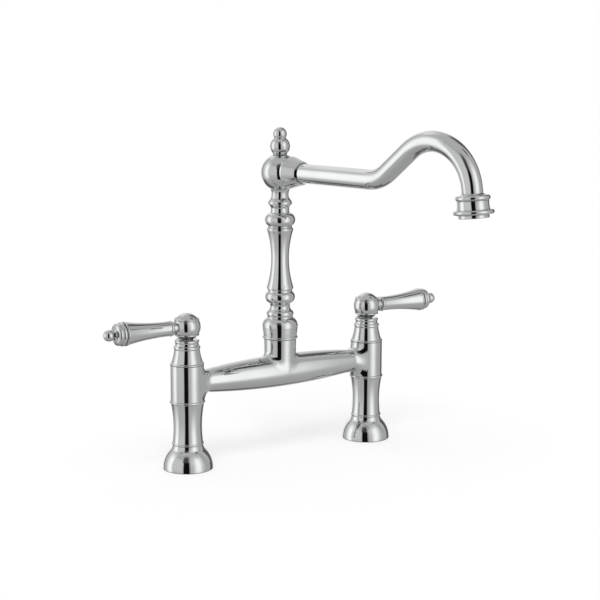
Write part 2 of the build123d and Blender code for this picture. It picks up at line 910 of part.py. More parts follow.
def aerator_insert():
    """The plastic cup that breaks the flow, holed round its floor, with a cone under the water."""
    body = turned(
        (0, insert_start + 1.0),
        (2.0, insert_start + 1.0),
        (5.0, insert_start + 2.4),
        (insert_r - insert_wall, insert_start + 2.4),
        (insert_r - insert_wall, insert_start + 0.05),
        (insert_r, insert_start + 0.05),
        (insert_r, screen_low),
        (insert_r - insert_wall, screen_low),
        (insert_r - insert_wall, insert_start + 4.0),
        (0, insert_start + 4.0),
    )
    for hole in PolarLocations(insert_r - insert_wall - 1.7, 10):
        body -= hole * rod(1.0, insert_start + 2.0, insert_start + 4.5)
    return at_outlet(body)


def aerator_screen():
    """The flat grille over the mouth, square holes inside a plain rim."""
    disc = rod(insert_r - 0.05, screen_low, screen_low + screen_thick)
    hole = screen_pitch - screen_bar
    count = int(2 * insert_r / screen_pitch)
    room = insert_r - 1.4 - hole * 0.7
    for spot in GridLocations(screen_pitch, screen_pitch, count, count):
        if Vector(spot.position.X, spot.position.Y).length < room:
            disc -= spot * Pos(0, 0, screen_low + screen_thick / 2) * Box(hole, hole, 2 * screen_thick)
    return at_outlet(disc)


# ---- Every piece, written as its own file


def on_side(piece, side):
    """Puts what is drawn for one pillar, its lever towards +X, on the cold side (1) or the hot (-1)."""
    return Pos(side * inlet_centres / 2, 0, 0) * Rot(0, 0, 0 if side > 0 else 180) * piece


def both_sides(piece):
    """The same small part on both pillars, as two solids."""
    return on_side(piece, -1) + on_side(piece, 1)


pieces = {
    "foot_gaskets": both_sides(foot_gasket()),
    "clamp_gaskets": both_sides(clamp_gasket()),
    "clamp_washers": both_sides(clamp_washer()),
    "lock_nuts": both_sides(lock_nut()),
    "seat_seals": both_sides(seat_seal()),
    "bridge": bridge(),
    "bridge_seals": bridge_seal(-1) + bridge_seal(1),
    "swivel_washer": swivel_washer(),
    "retaining_screw": retaining_screw(),
    "cup": cup(),
    "swivel_seals": o_ring(swivel_r - groove_depth, swivel_seal_heights[0])
    + o_ring(swivel_r - groove_depth, swivel_seal_heights[1]),
    "riser": riser(),
    "lower_turning": lower_turning(),
    "baluster": baluster(),
    "upper_turning": upper_turning(),
    "head": head(),
    "finial": finial(),
    "spout_nut": spout_nut(),
    "spout_tube": spout_tube(),
    "spout_seal": spout_seal(),
    "outlet_collar": outlet_collar(),
    "aerator_washer": aerator_washer(),
    "aerator_housing": aerator_housing(),
    "aerator_insert": aerator_insert(),
    "aerator_screen": aerator_screen(),
}
for name, make in {
    "foot": foot,
    "shank": shank,
    "pillar": pillar,
    "bonnet": bonnet,
    "cartridge": cartridge,
    "fixed_disc": fixed_disc,
    "moving_disc": moving_disc,
    "stem": stem,
    "stem_seal": stem_seal,
    "hub": hub,
    "index_cap": index_cap,
    "handle_screw": handle_screw,
    "lever_arm": lever_arm,
    "lever_cap": lever_cap,
}.items():
    piece = make()
    pieces["hot_" + name] = on_side(piece, -1)
    pieces["cold_" + name] = on_side(piece, 1)

for name, piece in pieces.items():
    export_step(piece, f"parts/{name}.step")
    print(name, "solids", len(piece.solids()), "volume", round(piece.volume, 1))
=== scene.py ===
# %% [markdown]
# # A bridge kitchen tap in polished chrome
#
# The CAD frame already holds every piece of the tap, each in its true place. What Blender adds is how the tap
# looks: a mirror finish with the faint marks of polishing, castings that flow into one another, and a studio
# that gives the mirror something to show. Chrome has hardly any colour of its own, so most of the work is in
# what stands around it.

# %% Load the frame and keep its size
import json

import bpy
import numpy as np
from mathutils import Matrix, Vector


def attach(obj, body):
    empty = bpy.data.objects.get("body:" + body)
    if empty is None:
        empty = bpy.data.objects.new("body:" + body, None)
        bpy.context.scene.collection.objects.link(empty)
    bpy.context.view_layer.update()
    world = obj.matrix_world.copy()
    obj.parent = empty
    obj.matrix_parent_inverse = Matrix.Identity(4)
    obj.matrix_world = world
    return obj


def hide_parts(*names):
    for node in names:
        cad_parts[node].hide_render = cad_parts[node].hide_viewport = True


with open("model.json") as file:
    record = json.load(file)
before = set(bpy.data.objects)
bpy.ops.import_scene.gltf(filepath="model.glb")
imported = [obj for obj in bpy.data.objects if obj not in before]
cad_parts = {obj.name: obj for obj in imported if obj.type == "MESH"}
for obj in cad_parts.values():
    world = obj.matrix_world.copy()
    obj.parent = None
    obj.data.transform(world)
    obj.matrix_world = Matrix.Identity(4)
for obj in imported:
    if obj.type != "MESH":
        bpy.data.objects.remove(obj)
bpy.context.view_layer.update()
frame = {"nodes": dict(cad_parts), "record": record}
nodes = frame["nodes"]

# %% [markdown]
# ## The camera
#
# The photograph looks at the tap from the front, a little from the left and from just above the spout, with
# a long lens, so that the near pillar is only slightly larger than the far one. A camera could be turned by
# hand until the rings of both pillars fall in place. Here its bearing, height and distance were worked out
# from those rings, so they are simply written down.

# %% Camera
bearing = np.radians(-32.92)  # how far the camera stands round to the left of straight ahead
climb = np.radians(9.01)  # how far it stands above the point that it looks at
distance = 1.440
aim_height = 0.1709
lens_in_widths = 2.5357  # focal length over the picture's width
frame_shift = (0.0334, -0.0396)  # the photograph is cropped off centre by this share of its width

toward_camera = Vector(
    (np.sin(bearing) * np.cos(climb), -np.cos(bearing) * np.cos(climb), np.sin(climb))
)
camera_data = bpy.data.cameras.new("camera")
camera_data.sensor_width = 36.0
camera_data.lens = lens_in_widths * camera_data.sensor_width
camera_data.shift_x, camera_data.shift_y = frame_shift
camera = bpy.data.objects.new("camera", camera_data)
camera.location = Vector((0, 0, aim_height)) + distance * toward_camera
camera.rotation_euler = toward_camera.to_track_quat("Z", "Y").to_euler()
bpy.context.scene.collection.objects.link(camera)
bpy.context.scene.camera = camera
print("the camera stands at", [round(v, 3) for v in camera.location])

# %% [markdown]
# ## Helpers for shader nodes
#
# A node tree is easier to read when each node takes one short line. One helper adds a node with its settings
# and joins it to what feeds it. Two more stand for the nodes that come up most: a sum on two values, and a
# grey that follows a value.


# %% Node helpers
def add(tree, kind, inputs=(), **settings):
    """Adds a node. inputs maps a socket's name or number to a constant, or to another node's output."""
    node = tree.nodes.new(kind)
    for name, value in settings.items():
        setattr(node, name, value)
    for socket, value in dict(inputs).items():
        if isinstance(value, bpy.types.NodeSocket):
            tree.links.new(value, node.inputs[socket])
        else:
            node.inputs[socket].default_value = value
    return node


def maths(tree, operation, first, second=0.0):
    """One sum on two values, given back as a socket."""
    return add(tree, "ShaderNodeMath", {0: first, 1: second}, operation=operation).outputs[0]


def ramp(tree, value, stops):
    """A grey that follows value through stops of (place, grey), given back as a colour socket."""
    node = add(tree, "ShaderNodeValToRGB", {0: value})
    elements = node.color_ramp.elements
    while len(elements) < len(stops):
        elements.new(0.5)
    for element, (place, grey) in zip(elements, stops):
        element.position = place
        element.color = (grey, grey, grey, 1)
    return node.outputs[0]


print("node helpers:", add.__name__, maths.__name__, ramp.__name__)

# %% [markdown]
# ## The studio
#
# A mirror shows the room. In the photograph every upright part carries the same stripes from left to right:
# a white window, grey wall, a narrow black flag, grey wall, a wider window, and grey that darkens to the
# edge. They could be built from lamps and cards, but then each would need its own place. A tent is shorter:
# one large ball around the tap that glows as brightly as the studio does in each direction. A card on it is a
# rectangle in bearing and height with soft edges. The brightness is worked out once for every corner of the
# ball's grid and kept there as an attribute, so that the shader only has to read it.

# %% Cards in the studio
# Each card: its left and right edge as bearings from the camera's side, its low and high edge, how soft those
# four edges are, how far it leans to the right for each degree of height, and how brightly it glows.
cards = {
    "rear_left": (-188, -138, -37, 59, (19, 9, 30, 25), 0.31, 0.995),
    "left_line": (-142, -134, -30, 44, (3, 3, 12, 12), 0.00, 0.060),
    "left_low_dark": (-158, -114, -60, -22, (10, 8, 12, 8), 0.00, 0.150),
    "left_window": (-105, -75, -23, 35, (30, 12, 30, 30), -0.09, 1.383),
    "left_wall": (-72, -25, -13, 30, (6, 5, 21, 12), -0.02, 0.766),
    "wing": (-72, -28, 39, 57, (8, 6, 7, 6), 0.01, 0.556),
    "flag_top": (-25, 7, 27, 56, (12, 6, 7, 20), 0.01, 0.080),
    "black_flag": (-18.5, 10, -39, 30, (4, 3, 5, 7), -0.03, 0.006),
    "right_wall": (10, 15, -40, 61, (3, 3, 10, 10), 0.00, 0.370),
    "right_window": (36, 69, -21, 41, (29, 30, 30, 30), 0.02, 1.323),
    "right_grey": (89, 119, -40, 51, (5, 7, 16, 10), -0.14, 0.515),
    "right_dark": (125, 160, -26, 62, (12, 18, 12, 20), 0.02, 0.130),
    "dark_spot": (80, 103, 53, 67, (9, 8, 10, 3), -0.00, 0.077),
    "low_dark_right": (142, 177, -68, -49, (11, 10, 8, 30), -0.00, 0.122),
    "low_dark_left": (-183, -124, -80, -58, (10, 10, 10, 10), -0.00, 0.154),
}
# What is behind the cards, from straight below to straight above.
backdrop_heights = (-90, -60, -30, 0, 30, 60, 90)
backdrop_glow = (0.44, 0.46, 0.56, 0.63, 0.75, 0.60, 0.58)


def soft_step(value, edge, width):
    """0 before an edge and 1 after it, along an S-shaped curve as wide as the edge is soft."""
    share = np.clip((value - edge) / width + 0.5, 0, 1)
    return share * share * (3 - 2 * share)


def glow(bearings, heights):
    """The studio's brightness: the backdrop, with each card laid over the ones before it."""
    light = np.interp(heights, backdrop_heights, backdrop_glow)
    for left, right, low, high, softness, lean, bright in cards.values():
        middle = (left + right) / 2
        turned = (bearings - lean * heights - middle + 180) % 360 - 180 + middle
        across = soft_step(turned, left, softness[0]) * soft_step(-turned, -right, softness[1])
        upward = soft_step(heights, low, softness[2]) * soft_step(-heights, -high, softness[3])
        light = light + across * upward * (bright - light)
    return light


print("the studio has", len(cards), "cards; behind the camera it glows at", round(float(glow(-6.0, 0.0)), 3))


# %% Grids made into meshes
def grid_faces(rows, columns, looped=False):
    """Four-sided faces of a grid. Its columns close into a ring, and so do its rows where it is looped."""
    row, column = np.meshgrid(np.arange(rows if looped else rows - 1), np.arange(columns), indexing="ij")
    above, beside = (row + 1) % rows, (column + 1) % columns
    near, far = row * columns, above * columns
    corners = (near + column, near + beside, far + beside, far + column)
    return np.stack(corners, axis=-1).reshape(-1, 4)


def make_piece(name, points, faces):
    """A mesh object from arrays of points, in metres, and faces. It is left at the origin."""
    mesh = bpy.data.meshes.new(name)
    mesh.from_pydata(points.reshape(-1, 3), [], faces)
    mesh.update()
    piece = bpy.data.objects.new(name, mesh)
    bpy.context.scene.collection.objects.link(piece)
    return piece


print("a grid of 2 rows and 3 columns has the faces", grid_faces(2, 3).tolist())

# %% Tent
tent_radius = 8.0
# The ball's grid has a point for each degree.
rise, turn = np.meshgrid(np.arange(-90.0, 91.0), np.arange(-180.0, 180.0), indexing="ij")

# A point on the ball: the bearing turns it round, and the height lifts it along the ball's curve.
round_turn = np.radians(turn) + bearing
outward = np.cos(np.radians(rise))
tent_points = tent_radius * np.stack(
    (np.sin(round_turn) * outward, -np.cos(round_turn) * outward, np.sin(np.radians(rise))), axis=-1
)
tent = make_piece("tent", tent_points + (0, 0, aim_height), grid_faces(*turn.shape)[:, ::-1])
shade = tent.data.attributes.new("glow", "FLOAT", "POINT")
shade.data.foreach_set("value", glow(turn, rise).ravel())
tent.visible_camera = False
tent.visible_diffuse = False
tent.visible_shadow = False
tent_material = bpy.data.materials.new("tent_light")
tent_material.use_nodes = True
tree = tent_material.node_tree
tree.nodes.clear()
brightness = add(tree, "ShaderNodeAttribute", attribute_name="glow").outputs["Fac"]
light = add(tree, "ShaderNodeEmission", {"Color": (1, 1, 1, 1), "Strength": brightness})
add(tree, "ShaderNodeOutputMaterial", {0: light.outputs[0]})
tent.data.materials.append(tent_material)
print("the tent has", len(tent.data.polygons), "faces")

# %% [markdown]
# ## Castings that flow into one another
#
# The CAD draws each branch of the castings with a plain fillet. In the photograph they are softer: the bridge
# swells into the pillars, and the socket sinks into the spindle without a crease. Such a form could be
# sculpted, or left to a bevel after a union, but neither gives a smooth reflection for certain. Two kinds of
# grid are enough here. A turned body needs only its outline. A blend starts as a circle round the branch,
# lands on the round body as an oblong, and between them runs along curves that leave one surface and arrive
# on the other without a kink. From here to the nut, sizes are in millimetres.

# %% Turned outlines
arc_points = 17  # along each swelling step, its two ends included
turned_sides = 160


def outline(*steps):
    """A closed row of (radius, height) points. A step is (radius, height), reached in a straight line, or has
    a swell too: the middle of an arc of a circle lies that far off the middle of its chord."""
    row = []
    for before, step in zip(steps[-1:] + steps[:-1], steps):
        start, end = np.array(before[:2]), np.array(step[:2])
        row.append(start[None])
        if len(step) == 3:
            half = np.linalg.norm(end - start) / 2
            along = (end - start) / (2 * half)
            outward = np.array((along[1], -along[0]))
            sweep = 2 * np.arctan(step[2] / half)
            angle = np.linspace(-sweep, sweep, arc_points)[1:-1, None]
            radius = half / np.sin(sweep)
            lift = np.cos(angle) - np.cos(sweep)
            row.append((start + end) / 2 + along * radius * np.sin(angle) + outward * radius * lift)
    return np.concatenate(row)


def turned(row):
    """An outline turned about the upright axis: radius times cosine and sine of the angle, and the height."""
    angle = np.linspace(0, 2 * np.pi, turned_sides, endpoint=False)
    radius, height = row[:, :1], row[:, 1:]
    return np.stack((radius * np.cos(angle), radius * np.sin(angle), height + 0 * angle), axis=-1)


print("a swelling step starts with", np.round(outline((1, 0), (1, 2, 0.5))[1:4], 2).tolist())

# %% Blends
blend_sides = 144
nudge = 0.01  # how far on either side the run's slope is measured


def blend(branch_r, start, run_r, along, across, squareness, taper, pull, steps):
    """Points (out, side, along) of the blend between a branch and the round run that it grows from, both axes
    crossing at the origin. The first row is the branch's circle, start away from the run's axis, and taper is
    what the branch's radius gains for each millimetre outwards. The last row is a rounded oblong drawn on the
    run's unrolled surface: at each angle round the branch its distance from the middle is
    (|cos/along|^n + |sin/across|^n)^(-1/n), where n is the squareness. Cubic curves join the two rows, and
    leave and arrive in the directions of the two surfaces. The greater the pull, the longer they hug the run.
    start, along, squareness and pull are functions of the angle, and run_r of the place along the run."""
    angle = np.linspace(0, 2 * np.pi, blend_sides, endpoint=False)
    cosine, sine = np.cos(angle), np.sin(angle)
    start, along, n = start(angle), along(angle), squareness(angle)
    first = np.stack((start, (branch_r + taper * start) * sine, (branch_r + taper * start) * cosine), axis=-1)
    spread = (np.abs(cosine / along) ** n + np.abs(sine / across) ** n) ** (-1 / n)
    length = spread * cosine
    radius = run_r(length)
    slope = (run_r(length + nudge) - run_r(length - nudge)) / (2 * nudge)
    around = spread * sine / run_r(0.0)
    last = np.stack((radius * np.cos(around), radius * np.sin(around), length), axis=-1)
    lean_around = np.sign(sine) * np.abs(spread * sine / across) ** (n - 1) / across
    lean_along = np.sign(cosine) * np.abs(length / along) ** (n - 1) / along
    arrive = np.stack(
        (
            slope * lean_along * np.cos(around) - lean_around * np.sin(around),
            slope * lean_along * np.sin(around) + lean_around * np.cos(around),
            lean_along,
        ),
        axis=-1,
    )
    arrive /= np.linalg.norm(arrive, axis=-1, keepdims=True)
    leave = np.stack((-1 + 0 * angle, -taper * sine, -taper * cosine), axis=-1)
    reach = np.linalg.norm(last - first, axis=-1, keepdims=True)
    t = np.linspace(0, 1, steps)[:, None, None]
    ends = (2 * t**3 - 3 * t**2 + 1) * first + (3 * t**2 - 2 * t**3) * last
    return ends + reach * ((t**3 - 2 * t**2 + t) * leave + (t**3 - t**2) * pull(angle)[:, None] * arrive)


print("a blend has", blend_sides, "points round the branch")

# %% Closed shells and cast pieces
shell_wall = 1.2
outer_steps, inner_steps = 49, 9
inset_along, inset_across = 1.0, 1.1  # how much smaller the inside's oblong is
tuck = 0.02  # how far a blend's edges lie under the surfaces that they meet
sharp_corner = np.radians(12)


def blend_shell(branch_r, inner_r, start, run_r, along, across, squareness, taper, pull):
    """A blend with an inside, whose run is thinner by the wall, as one looped grid."""
    outside = blend(branch_r, start, run_r, along, across, squareness, taper, pull, outer_steps)
    inside = blend(
        inner_r,
        start,
        lambda place: run_r(place) - shell_wall,
        lambda angle: along(angle) - inset_along,
        across - inset_across,
        squareness,
        taper,
        pull,
        inner_steps,
    )
    return np.concatenate((outside, inside[::-1]))


def cast_piece(name, grids):
    """One piece from several looped grids in millimetres, smooth but for its sharp corners."""
    points, faces, count = [], [], 0
    for grid in grids:
        points.append(grid.reshape(-1, 3) / 1000)
        faces.append(grid_faces(*grid.shape[:2], looped=True) + count)
        count += grid.shape[0] * grid.shape[1]
    piece = make_piece(name, np.concatenate(points), np.concatenate(faces))
    piece.data.shade_smooth()
    piece.data.set_sharp_from_angle(angle=sharp_corner)
    return piece


new_pieces = []  # each with the finish that it gets further down
print("a shell takes", (outer_steps + inner_steps) * blend_sides, "faces")

# %% [markdown]
# ## The pillars
#
# Each pillar is one casting, turned on a lathe except where the branch to the bridge grows from it. The black
# stripe in its reflection shows the form: it comes down the middle, leaves in a wide bend and runs out along
# the bridge, and just below it the pillar is round again. A fillet of even width would break the stripe off
# short. So the turned body, with the bores that the CAD gives it, gets a broad blend that lands as a rounded
# square between the two rings.

# %% Pillars with blended branches
half_spread = 101.6  # from the middle of the tap to each pillar's axis
bridge_height = 80.0
branch_r = 10.92
branch_bore_r = 8.6
branch_face = 20.55  # from the pillar's axis to the seam with the bridge
branch_slope = 0.112  # the spindle is still narrowing at the seam by this much for each millimetre
pillar_r = 15.65
landing_above, landing_below = 15.3, 18.0  # below, the blend ends inside the lower ring
landing_round = 17.8
landing_squareness = 5
landing_pull = 0.55
landing_pull_rise = 0.45  # makes the blend gentle on its upper side and full on its lower
pillar_outline = outline(  # up the outside, over the bonnet's thread and down the bores
    (14.2, 22.8),
    (14.2, 25.0, 0.75),
    (pillar_r, 62.0, -1.5),
    (pillar_r, 64.5, 0.9),
    (pillar_r, 97.8),
    (13.0, 97.8),
    (13.0, 104.0),
    (10.35, 104.0),
    (10.35, 88.0),
    (9.4, 88.0),
    (9.4, 69.0),
    (6.5, 69.0),
    (6.5, 34.3),
    (10.5, 34.3),
    (10.5, 22.8),
)
landing = blend_shell(
    branch_r - branch_slope * branch_face,
    branch_bore_r - branch_slope * branch_face,
    lambda angle: branch_face + 0 * angle,
    lambda place: pillar_r - tuck + 0 * place,
    lambda angle: np.where(np.cos(angle) > 0, landing_above, landing_below),
    landing_round,
    lambda angle: landing_squareness + 0 * angle,
    branch_slope,
    lambda angle: landing_pull + landing_pull_rise * np.cos(angle),
)
for side, sign in (("hot", -1), ("cold", 1)):
    body = turned(pillar_outline) + (sign * half_spread, 0, 0)
    branch = landing * (-sign, -sign, 1) + (sign * half_spread, 0, bridge_height)
    pillar = cast_piece(side + "_pillar_casting", (body, branch))
    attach(pillar, "base")
    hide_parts(side + "_pillar")
    new_pieces.append((pillar, "chrome_base"))
    print(pillar.name, "has", len(pillar.data.polygons), "faces")

# %% [markdown]
# ## The root of the socket
#
# The upright socket rises from the spindle as if both were one block, and no edge shows between them. The CAD
# has a small fillet there, which the mirror draws as a hard bend. The CAD's bridge can stay as it is, because
# the softer form is larger all round: a blend laid over it reaches right down the spindle's sides, and starts
# higher where it meets the spindle's top.

# %% Socket blended into the bridge
spindle_half = half_spread - branch_face
spindle_mid_r = 15.45
spindle_rise = 4.55  # of its long arc, from the seams to the middle
spindle_curve_r = (spindle_half**2 + spindle_rise**2) / (2 * spindle_rise)


def spindle_r(place):
    """The spindle's radius: that at the middle, less the sag of its long arc."""
    return spindle_mid_r - spindle_curve_r + np.sqrt(spindle_curve_r**2 - place**2)


socket_foot_r = 14.9
socket_slope = 0.6 / 31.45  # the socket widens this much for each millimetre of height
root_start = 12.0  # from the spindle's axis, at its sides
root_rise = 8.5  # how much higher it starts over the spindle's top
root_along = 20.0
root_squareness = 1.6  # 2 would be an ellipse
root_wrap = np.radians(105)  # how far round the spindle the blend reaches on each side
rooted = blend_shell(
    socket_foot_r - tuck,
    socket_foot_r - shell_wall,
    lambda angle: root_start + root_rise * np.cos(angle) ** 2,
    lambda place: spindle_r(place) - tuck,
    lambda angle: root_along + 0 * angle,
    spindle_r(0.0) * root_wrap,
    lambda angle: root_squareness + 0 * angle,
    socket_slope,
    lambda angle: 1.0 + 0 * angle,
)
socket_root = cast_piece("socket_root", (rooted[..., [2, 1, 0]] * (1, -1, 1) + (0, 0, bridge_height),))
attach(socket_root, "base")
new_pieces.append((socket_root, "chrome_base"))
print("the socket's root is", round(1000 * socket_root.dimensions.x, 1), "mm along the bridge")

# %% [markdown]
# ## The spout nut
#
# The nut that draws the spout into the head has one straight flank, which is why the mirror shows it as a
# single flat grey. The CAD's nut has a hollow flank with a step in it, and no material can straighten those.
# So the nut is turned like the pillars, with the CAD's bore, and then laid along the spout.

# %% Coned spout nut
spout_turn = np.radians(11)
spout_height = 270.15
nut_outline = outline(  # from the lip along the flank to the small end, and back through the bore
    (14.5, 15.4),
    (15.0, 15.8),
    (15.0, 16.2),
    (11.0, 29.8),
    (10.8, 30.0),
    (9.4, 30.0),
    (9.4, 21.9),
    (12.05, 21.9),
    (12.05, 15.4),
)
forward = np.array((np.sin(spout_turn), -np.cos(spout_turn), 0))  # the way the spout points
sideways = np.array((np.cos(spout_turn), np.sin(spout_turn), 0))
nut = turned(nut_outline)
laid = nut[..., :1] * sideways + nut[..., 1:2] * (0, 0, 1) + nut[..., 2:] * forward + (0, 0, spout_height)
spout_nut = cast_piece("spout_nut_cone", (laid,))
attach(spout_nut, "spout")
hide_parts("spout_nut")
new_pieces.append((spout_nut, "chrome_spout"))
print("the nut's middle is", [round(v, 4) for v in np.array(spout_nut.bound_box).mean(axis=0)])

# %% [markdown]
# ## What a worktop would hide
#
# The tails and their nuts hang under the worktop, where no mirror above it can show them. The floor of this
# studio is open to reflections, so their brass would draw yellow lines in the chrome. A solid floor would
# stop that, and spoil the chrome's underside. It is enough to keep these pieces out of reflections.

# %% Keep what hangs under the deck out of the mirror
under_deck = ("hot_shank", "cold_shank", "lock_nuts", "clamp_washers", "clamp_gaskets")
for node in under_deck:
    nodes[node].visible_glossy = False
print("out of the mirror:", ", ".join(under_deck))

# %% [markdown]
# ## The floor and the lamps
#
# The tap stands on a pale floor that runs into a white background. A white floor would wash out the shadow
# that holds the feet down, so the floor is a plain pale grey under a sun and an even sky, and only to the
# camera does it give a little light of its own. That lifts it to the background's white and keeps the
# shadow. The mirror looks through the floor into the tent, as the tap in the photograph stood on nothing.

# %% Floor
floor_size = 14.0
floor_grey = 0.60
sky_strength = 0.55
sun_strength = 0.9
sun_place = Vector((-0.45, -0.55, 1.0))  # where the sun stands, seen from the tap
lit_floor = floor_grey * (sky_strength + sun_strength * sun_place.normalized().z / np.pi)
floor_white = 1.01  # a little over white, so that no grain shows in it
floor_lift = floor_white - lit_floor
floor_mottle = 0.004  # how far its grey varies either way

bpy.ops.mesh.primitive_plane_add(size=floor_size, location=(0, 0, 0))
floor = bpy.context.object
floor.name = "floor"
floor_material = bpy.data.materials.new("pale_floor")
floor_material.use_nodes = True
tree = floor_material.node_tree
tree.nodes.clear()
path = add(tree, "ShaderNodeLightPath").outputs
grain = add(tree, "ShaderNodeTexNoise", {"Scale": 3.0, "Detail": 2.0})
tone = ramp(tree, grain.outputs[0], [(0.3, floor_grey - floor_mottle), (0.7, floor_grey + floor_mottle)])
matt = add(tree, "ShaderNodeBsdfDiffuse", {"Color": tone})
lift = add(tree, "ShaderNodeEmission", {"Color": (1, 1, 1, 1), "Strength": floor_lift})
lit = add(tree, "ShaderNodeAddShader", {0: matt.outputs[0], 1: lift.outputs[0]})
seen = add(tree, "ShaderNodeMixShader", {0: path["Is Camera Ray"], 1: matt.outputs[0], 2: lit.outputs[0]})
clear = add(tree, "ShaderNodeBsdfTransparent")
shown = add(tree, "ShaderNodeMixShader", {0: path["Is Glossy Ray"], 1: seen.outputs[0], 2: clear.outputs[0]})
add(tree, "ShaderNodeOutputMaterial", {0: shown.outputs[0]})
floor.data.materials.append(floor_material)
print("sun and sky make the floor", round(lit_floor, 3), "and it is lifted by", round(floor_lift, 3))

# %% Sun and sky
sun_width = 30  # degrees across, for a soft shadow
sun = bpy.data.lights.new("soft_sun", "SUN")
sun.energy = sun_strength
sun.angle = np.radians(sun_width)
sun_holder = bpy.data.objects.new("soft_sun", sun)
sun_holder.rotation_euler = sun_place.to_track_quat("Z", "Y").to_euler()
sun_holder.visible_glossy = False
bpy.context.scene.collection.objects.link(sun_holder)

world = bpy.data.worlds.new("white_world")
bpy.context.scene.world = world
world.use_nodes = True
tree = world.node_tree
tree.nodes.clear()
path = add(tree, "ShaderNodeLightPath").outputs
mirrored = maths(tree, "MAXIMUM", path["Is Glossy Ray"], path["Is Transmission Ray"])
seen = maths(tree, "MAXIMUM", path["Is Camera Ray"], mirrored)
strength = maths(tree, "ADD", sky_strength, maths(tree, "MULTIPLY", seen, 1.0 - sky_strength))
background = add(tree, "ShaderNodeBackground", {"Color": (1, 1, 1, 1), "Strength": strength})
add(tree, "ShaderNodeOutputWorld", {0: background.outputs[0]})
bpy.context.scene.view_settings.view_transform = "Standard"
print("the sun's disc is", round(np.degrees(sun.angle)), "degrees wide")

# %% [markdown]
# ## Marks that several finishes share
#
# Even new chrome isn't a perfect mirror. The polishing mop leaves shallow waves that make the edges of a
# reflection wander, and fine hairlines that blur it a little in one direction. Both are shader groups, so
# that each metal can use them with its own strength.


# %% Shared shader groups
def group(name, inputs, outputs):
    """An empty shader group with named number inputs and named outputs of a given socket type."""
    tree = bpy.data.node_groups.new(name, "ShaderNodeTree")
    for label, value in inputs.items():
        socket = tree.interface.new_socket(label, in_out="INPUT", socket_type="NodeSocketFloat")
        socket.default_value = value
    for label, kind in outputs.items():
        tree.interface.new_socket(label, in_out="OUTPUT", socket_type=kind)
    return tree, tree.nodes.new("NodeGroupInput").outputs, tree.nodes.new("NodeGroupOutput").inputs


def polishing_waves():
    """Normals that lean a little to and fro, from one broad and one finer noise."""
    tree, given, out = group(
        "polishing_waves",
        {"Broad size": 60.0, "Fine size": 260.0, "Fine share": 0.15, "Depth": 0.02},
        {"Normal": "NodeSocketVector"},
    )
    place = add(tree, "ShaderNodeTexCoord").outputs["Object"]
    broad = add(tree, "ShaderNodeTexNoise", {"Vector": place, "Scale": given["Broad size"], "Detail": 1.0})
    fine = add(tree, "ShaderNodeTexNoise", {"Vector": place, "Scale": given["Fine size"], "Detail": 1.0})
    finer = maths(tree, "MULTIPLY", fine.outputs[0], given["Fine share"])
    height = maths(tree, "ADD", broad.outputs[0], finer)
    bump = add(tree, "ShaderNodeBump", {"Strength": given["Depth"], "Distance": 0.001, "Height": height})
    tree.links.new(bump.outputs[0], out["Normal"])
    return tree


def hairlines():
    """Roughness that rises along fine stretched scratches and in faint dried spots."""
    tree, given, out = group(
        "hairlines",
        {"Base": 0.03, "Scratches": 0.05, "Spots": 0.03},
        {"Roughness": "NodeSocketFloat", "Tone": "NodeSocketColor"},
    )
    place = add(tree, "ShaderNodeTexCoord").outputs["Object"]
    stretched = add(tree, "ShaderNodeMapping", {"Vector": place, "Scale": (1.0, 1.0, 0.06)})
    lines = add(tree, "ShaderNodeTexNoise", {"Vector": stretched.outputs[0], "Scale": 1800.0, "Detail": 2.0})
    scratch = ramp(tree, lines.outputs[0], [(0.62, 0.0), (0.72, 1.0)])
    drops = add(tree, "ShaderNodeTexVoronoi", {"Vector": place, "Scale": 140.0, "Randomness": 1.0})
    spot = ramp(tree, drops.outputs["Distance"], [(0.06, 1.0), (0.12, 0.0)])
    scratched = maths(tree, "MULTIPLY", scratch, given["Scratches"])
    spotted = maths(tree, "MULTIPLY", spot, given["Spots"])
    rough = maths(tree, "ADD", given["Base"], maths(tree, "ADD", scratched, spotted))
    tree.links.new(rough, out["Roughness"])
    cloud = add(tree, "ShaderNodeTexNoise", {"Vector": place, "Scale": 25.0, "Detail": 3.0})
    tone = ramp(tree, cloud.outputs[0], [(0.3, 0.93), (0.7, 1.0)])
    tree.links.new(tone, out["Tone"])
    return tree


waves_group = polishing_waves()
hairline_group = hairlines()
print("shared groups:", waves_group.name, "and", hairline_group.name)

# %% [markdown]
# ## The finishes
#
# Bright chrome is a thin bluish metal over nickel. As a shader it is fully metallic, a light and almost
# neutral grey, with a very low roughness. The pieces of the base, the column, the spout and the levers were
# polished on different machines, so each kind gets the same metal with its own waves. In the narrowest creases
# the colour is darkened as painted shade, for the dark lines that the mirror shows along beads and grooves.
# These could be painted in one by one. An ambient occlusion node finds them all, because it measures how
# closely a surface is shut in.


# %% Chrome
chrome_tint = (0.685, 0.69, 0.695, 1)
painted_shade_reach = 0.002  # metres within which a neighbouring surface darkens the colour as painted shade
painted_shade_stops = [(0.30, 0.12), (0.85, 1.0)]  # how open the place is, and the share of colour left under the painted shade
